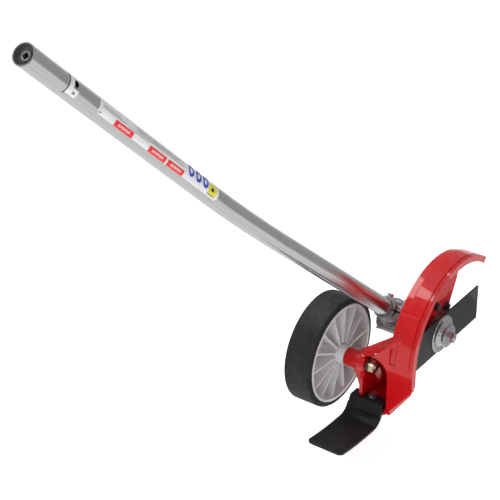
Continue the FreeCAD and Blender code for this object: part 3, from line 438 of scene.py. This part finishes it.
seat = TYRE_HALF - SEAT_INSET
section = shoulder(1) + [(x, TYRE_R) for x in TREAD_X] + shoulder(-1)[::-1]
section += [(-seat, SEAT_R - SEAT_LIP), (-seat, SEAT_R - SEAT_DEPTH)]
section += [(seat, SEAT_R - SEAT_DEPTH), (seat, SEAT_R - SEAT_LIP)]
tyre = lathe("tyre_moulding", section, mid("tyre"))
tyre.modifiers.new("normals", "WEIGHTED_NORMAL").keep_sharp = True
finish_of(tyre, rubber)
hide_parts("tyre")
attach(tyre, "wheel")


# ---------------------------------------------------------------- label and marks on the boom
LONG_PATCH, LONG_STEP, SHORT_STEPS = 0.02, 0.004, 12
AROUND_STEP, LEAST_AROUND = 3, 4
SUNK = -0.00012             # a film's underside lies in the tube's wall, so no gap shows
ON_TUBE, EDGE_ON_TUBE, ON_BASE, ON_PRINT = 0.00010, 0.00012, 0.00016, 0.00021
WELD = 1e-7


def boom_patch(name, s0, s1, a0, a1, finish, lift, shape=None):
    """A thin film that follows the boom, lift metres above the tube.

    s is metres below the boom's mouth, a the angle in degrees from +X towards the boom's top.
    shape gives the angles at each share of the length where the patch isn't straight.
    """
    steps_s = max(2, int((s1 - s0) / LONG_STEP)) if (s1 - s0) > LONG_PATCH else SHORT_STEPS
    steps_a = max(LEAST_AROUND, int(abs(a1 - a0) / AROUND_STEP))
    bm = bmesh.new()
    layers = []
    for extra in (lift, SUNK):
        rows = []
        for i in range(steps_s + 1):
            u = i / steps_s
            s = s0 + (s1 - s0) * u
            centre, along = boom_at(s)
            up = over(along)
            lo, hi = a0, a1
            if shape is not None:
                lo, hi = shape(u, a0, a1)
            row = []
            for j in range(steps_a + 1):
                a = math.radians(lo + (hi - lo) * j / steps_a)
                out = X * math.cos(a) + up * math.sin(a)
                row.append(bm.verts.new(centre + out * (BOOM_R + extra)))
            rows.append(row)
        layers.append(rows)
    top, under = layers
    for i in range(steps_s):
        for j in range(steps_a):
            bm.faces.new((top[i][j], top[i + 1][j], top[i + 1][j + 1], top[i][j + 1]))
            bm.faces.new((under[i][j], under[i][j + 1], under[i + 1][j + 1], under[i + 1][j]))
    for i in range(steps_s):
        for j, flip in ((0, False), (steps_a, True)):
            quad = (top[i][j], under[i][j], under[i + 1][j], top[i + 1][j])
            bm.faces.new(quad if not flip else quad[::-1])
    for j in range(steps_a):
        for i, flip in ((0, True), (steps_s, False)):
            quad = (top[i][j], under[i][j], under[i][j + 1], top[i][j + 1])
            bm.faces.new(quad if not flip else quad[::-1])
    bmesh.ops.remove_doubles(bm, verts=bm.verts, dist=WELD)
    bmesh.ops.recalc_face_normals(bm, faces=bm.faces)
    mesh = bpy.data.meshes.new(name)
    bm.to_mesh(mesh)
    bm.free()
    for poly in mesh.polygons:
        poly.use_smooth = True
    obj = link_mesh(name, mesh)
    finish_of(obj, finish)
    obj.modifiers.new("normals", "WEIGHTED_NORMAL").keep_sharp = True
    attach(obj, "root")


def film(name, colour, low):
    """The finish of a film on the boom, mostly print; the black film also paints the shade at the locking hole.
    Its colour drifts between low and colour.
    """
    made = Finish(name, colour, roughness=0.3)
    made.tone(made.noise(120), low, colour).gloss(made.noise(300), 0.24, 0.36)
    return made.bump(made.noise(900), 0.006)


white_film = film("label_white", (0.80, 0.80, 0.81), (0.74, 0.74, 0.75))
red_film = film("label_red", (0.85, 0.008, 0.014), (0.80, 0.006, 0.010))
pink_film = film("label_pale", (0.90, 0.62, 0.62), (0.86, 0.55, 0.55))
blue_film = film("label_blue", (0.005, 0.05, 0.55), (0.004, 0.04, 0.47))
yellow_film = film("label_yellow", (0.82, 0.74, 0.03), (0.76, 0.67, 0.02))
grey_film = film("label_grey", (0.26, 0.27, 0.28), (0.20, 0.21, 0.22))
black_film = film("label_black", (0.012, 0.012, 0.013), (0.02, 0.02, 0.021))


def rounded(share, cut):
    """Rounds a patch's corners: over this share of its length, by this many degrees."""
    def shape(u, lo, hi):
        d = min(u, 1 - u) / share
        if d >= 1:
            return lo, hi
        inset = cut * (1 - math.sqrt(max(0.0, 1 - (1 - d) ** 2)))
        return lo + inset, hi - inset
    return shape


boom_patch("label_base", 0.1212, 0.3819, -27, 96, white_film, ON_TUBE, shape=rounded(0.015, 14))

RED_BLOCKS = ((0.1544, 0.1914), (0.2254, 0.2622), (0.2658, 0.3015))
RED_FROM, RED_TO = -27.5, 4.5
BARS, BAR_START, BAR_PITCH, BAR_LENGTH = 6, 0.0075, 0.0040, 0.0026
BAR_FROM, BAR_TO, BAR_STAGGER = -18, -4, 2
for i, (s0, s1) in enumerate(RED_BLOCKS):
    boom_patch(f"label_red_block_{i + 1}", s0, s1, RED_FROM, RED_TO, red_film, ON_BASE)
    for k in range(BARS):
        at = s0 + BAR_START + BAR_PITCH * k
        boom_patch(f"label_pale_bar_{i + 1}_{k + 1}", at, at + BAR_LENGTH,
                   BAR_FROM + (k % 2) * BAR_STAGGER, BAR_TO, pink_film, ON_PRINT)


END_HALF = 0.3              # half the short straight edge that is left at an ellipse's ends


def round_shape(middle, reach):
    """Narrows a patch to an ellipse about this angle."""
    def shape(u, lo, hi):
        half = reach * math.sqrt(max(0.0, 1 - (2 * u - 1) ** 2)) + END_HALF
        return middle - half, middle + half
    return shape


DISCS = ((0.3160, 34), (0.3332, 33), (0.3500, 32))
DISC_R = 0.0070
DISC_REACH = math.degrees(DISC_R / BOOM_R)
MARK_ABOVE, MARK_BELOW = 0.45, 0.35     # shares of the disc's radius
MARK_FRAME, MARK_TURN, MARK_REACH = 14, 4, 13
for i, (s, a) in enumerate(DISCS):
    boom_patch(f"label_blue_disc_{i + 1}", s - DISC_R, s + DISC_R, a - DISC_REACH, a + DISC_REACH,
               blue_film, ON_BASE, shape=round_shape(a, DISC_REACH))
    boom_patch(f"label_blue_mark_{i + 1}", s - DISC_R * MARK_ABOVE, s + DISC_R * MARK_BELOW,
               a - MARK_FRAME, a + MARK_FRAME, white_film, ON_PRINT,
               shape=round_shape(a - MARK_TURN, MARK_REACH))

# name, where it starts and ends down the boom, its angles, film, lift and outline
PATCH_ROWS = [
    ("label_yellow_block", 0.3580, 0.3768, -13, 44, yellow_film, ON_BASE, rounded(0.2, 8)),
    ("label_yellow_mark", 0.3635, 0.3700, 2, 26, black_film, ON_PRINT, round_shape(14, 10)),
    ("label_black_bar", 0.3580, 0.3745, -18, -13.5, black_film, ON_BASE, None),
    ("label_grey_bar_1", 0.1275, 0.1745, 14, 17.5, grey_film, ON_BASE, None),
    ("label_grey_bar_2", 0.1275, 0.1650, 23, 26, grey_film, ON_BASE, None),
    ("label_grey_bar_3", 0.1800, 0.2220, 9, 12, grey_film, ON_BASE, None),
    ("label_grey_bar_4", 0.1950, 0.2990, 19, 22.5, grey_film, ON_BASE, None),
    ("label_grey_bar_5", 0.1950, 0.2840, 28, 31.5, grey_film, ON_BASE, None),
    ("label_grey_bar_6", 0.1950, 0.2990, 37, 40.5, grey_film, ON_BASE, None),
    ("label_grey_bar_7", 0.1238, 0.1276, -19, -12, grey_film, ON_BASE, None),
    ("mark_base_low", 0.0645, 0.0822, -38, 5, white_film, ON_TUBE, rounded(0.12, 5)),
    ("mark_base_high", 0.0645, 0.0822, 45, 66, white_film, ON_TUBE, None),
    ("mark_base_side", 0.0645, 0.0722, 5, 45, white_film, ON_TUBE, None),
    ("mark_edge", 0.0632, 0.0646, -50, 70, black_film, EDGE_ON_TUBE, None),
    ("mark_grey", 0.0738, 0.0782, -26, -14, grey_film, ON_BASE, None),
    # painted shade: a black strip along the lower edge of the decal's bare gap, standing in for the shadow inside
    # the boom's locking hole
    ("mark_painted_hole_shade", 0.0722, 0.0812, 1.5, 5.0, black_film, ON_BASE, None),
]
for row in PATCH_ROWS:
    boom_patch(*row)

# ---------------------------------------------------------------- floor, light, camera
depth = joint("wheel_depth")
arm = mid("tyre") - Vector(depth["pos_m"])
LOWEST = math.radians(min(depth["range_deg"]))
lowered = Matrix.Rotation(LOWEST, 3, Vector(depth["axis"])) @ arm
FLOOR_GAP = 0.0002
# the floor lies under the wheel's lowest setting, so that no pose sinks into it
FLOOR_Z = tyre_lo.z - max(0.0, arm.z - lowered.z) - FLOOR_GAP


def staged_sheet(name, corners, finish):
    """One flat face of the set around the object; it is no part of the model."""
    bm = bmesh.new()
    bm.faces.new([bm.verts.new(c) for c in corners])
    mesh = bpy.data.meshes.new(name)
    bm.to_mesh(mesh)
    bm.free()
    obj = link_mesh(name, mesh)
    finish_of(obj, finish)
    return obj


def paper(name, level, drift, glow, scale=4):
    """A matt grey of this level that drifts a little and gives off light."""
    made = Finish(name, (level, level, level), roughness=0.9)
    made.tone(made.noise(scale), *((grey, grey, grey) for grey in (level - drift, level + drift)))
    return made.glow(glow)


floor_finish = paper("floor_paper", 0.86, 0.01, 0.7)
floor_finish.bump(floor_finish.noise(600), 0.02)
FLOOR_HALF = 6.0
FLOOR_MIDDLE = Vector((HEAD.x, HEAD.y / 2, FLOOR_Z))
FLOOR_CORNERS = [FLOOR_MIDDLE + Vector((sx * FLOOR_HALF, sy * FLOOR_HALF, 0))
                 for sx, sy in ((-1, -1), (1, -1), (1, 1), (-1, 1))]
floor = staged_sheet("floor", FLOOR_CORNERS, floor_finish)
floor.visible_glossy = False


def only_mirrored(obj):
    """Seen in polished surfaces only: it neither shows, shades nor lights anything."""
    obj.visible_camera = False
    obj.visible_shadow = False
    obj.visible_diffuse = False


def only_seen(obj):
    """Seen by the camera only, behind everything else."""
    obj.visible_glossy = False
    obj.visible_shadow = False
    obj.visible_diffuse = False
    obj.visible_transmission = False


backdrop_finish = paper("backdrop_paper", 0.05, 0.01, 1.1)
WALL_TOP = Vector((0, 0, 8.0))
WALL_FOOT = Vector((0, 0, -2.0))
for i, corner in enumerate(FLOOR_CORNERS):
    other = FLOOR_CORNERS[(i + 1) % 4]
    wall = (corner + WALL_FOOT, other + WALL_FOOT, other + WALL_TOP, corner + WALL_TOP)
    only_seen(staged_sheet(f"backdrop_{i + 1}", wall, backdrop_finish))

# what the polished parts mirror from below, darker than the floor that the camera sees
mirror_floor = paper("floor_mirrored", 0.02, 0.002, 0.85)
only_mirrored(staged_sheet("floor_mirrored", FLOOR_CORNERS, mirror_floor))

CAMERA_TURN = math.radians(35.45)
CAMERA_RISE = math.radians(31.10)
CAMERA_AT = (1001.75, -1840.54, 1383.11)
SENSOR_WIDTH, LENS = 36, 136.8
TO_CAMERA = Vector((math.sin(CAMERA_TURN) * math.cos(CAMERA_RISE),
                    -math.cos(CAMERA_TURN) * math.cos(CAMERA_RISE), math.sin(CAMERA_RISE)))
camera_data = bpy.data.cameras.new("camera")
camera = bpy.data.objects.new("camera", camera_data)
scene.collection.objects.link(camera)
camera_data.sensor_width = SENSOR_WIDTH
camera_data.lens = LENS
camera_data.clip_start = 0.05
camera_data.clip_end = 100
camera.location = head(*CAMERA_AT)
camera.rotation_euler = (-TO_CAMERA).to_track_quat("-Z", "Y").to_euler()
scene.camera = camera


def softbox(name, direction, distance, width, height, radiance, up):
    """A rectangular light of this radiance that faces the head from that direction."""
    data = bpy.data.lights.new(name, "AREA")
    data.shape = "RECTANGLE"
    data.size = width
    data.size_y = height
    data.energy = radiance * math.pi * width * height
    obj = bpy.data.objects.new(name, data)
    scene.collection.objects.link(obj)
    back = Vector(direction).normalized()
    side = up.cross(back).normalized()
    facing = Matrix((side, back.cross(side), back)).transposed().to_4x4()
    obj.matrix_world = Matrix.Translation(HEAD + back * distance) @ facing
    obj.visible_camera = False


softbox("overhead", (-0.50, 0.02, 0.75), 1.5, width=1.0, height=1.25, radiance=4.2, up=Y)
softbox("side", (-0.97, 0.23, 0.02), 1.5, width=1.0, height=0.8, radiance=1.7, up=Z)
softbox("front", (0.75, -0.45, 0.45), 2.6, width=1.2, height=1.6, radiance=1.0, up=Z)
softbox("low", (0.22, -0.95, 0.20), 2.4, width=1.0, height=1.0, radiance=2.4, up=Z)

# a grey card that only reflections see: it gives the polished boom its dark band
card_finish = paper("card_grey", 0.02, 0.002, 0.36, scale=5)


def mirror_ray(angle):
    """Where the boom's surface at this angle from +X sends the camera's line of sight."""
    a = math.radians(angle)
    n = X * math.cos(a) + over(UPPER) * math.sin(a)
    return n * (2 * n.dot(TO_CAMERA)) - TO_CAMERA


CARD_FROM, CARD_TO = -9, 46             # the angles on the boom that mirror the card
CARD_HIGH, CARD_LOW = (-0.30, 0.50), (0.90, 0.28)   # metres below the mouth, metres out
card = [boom_at(s)[0] + mirror_ray(angle) * reach
        for angle, (s, reach) in ((CARD_FROM, CARD_HIGH), (CARD_FROM, CARD_LOW),
                                  (CARD_TO, CARD_LOW), (CARD_TO, CARD_HIGH))]
only_mirrored(staged_sheet("boom_card", card, card_finish))

world = bpy.data.worlds.new("studio")
scene.world = world
world.use_nodes = True
background = world.node_tree.nodes["Background"]
sky = world.node_tree.nodes.new("ShaderNodeTexCoord")
split = world.node_tree.nodes.new("ShaderNodeSeparateXYZ")
ramp = world.node_tree.nodes.new("ShaderNodeValToRGB")
SKY = ((0.0, (0.62, 0.62, 0.63, 1)), (0.6, (0.95, 0.95, 0.96, 1)))
for element, (height, colour) in zip(ramp.color_ramp.elements, SKY):
    element.position = height
    element.color = colour
world.node_tree.links.new(sky.outputs["Generated"], split.inputs["Vector"])
world.node_tree.links.new(split.outputs["Z"], ramp.inputs["Fac"])
world.node_tree.links.new(ramp.outputs["Color"], background.inputs["Color"])
SKY_LEVEL = 0.42
background.inputs["Strength"].default_value = SKY_LEVEL
scene.view_settings.view_transform = "Standard"
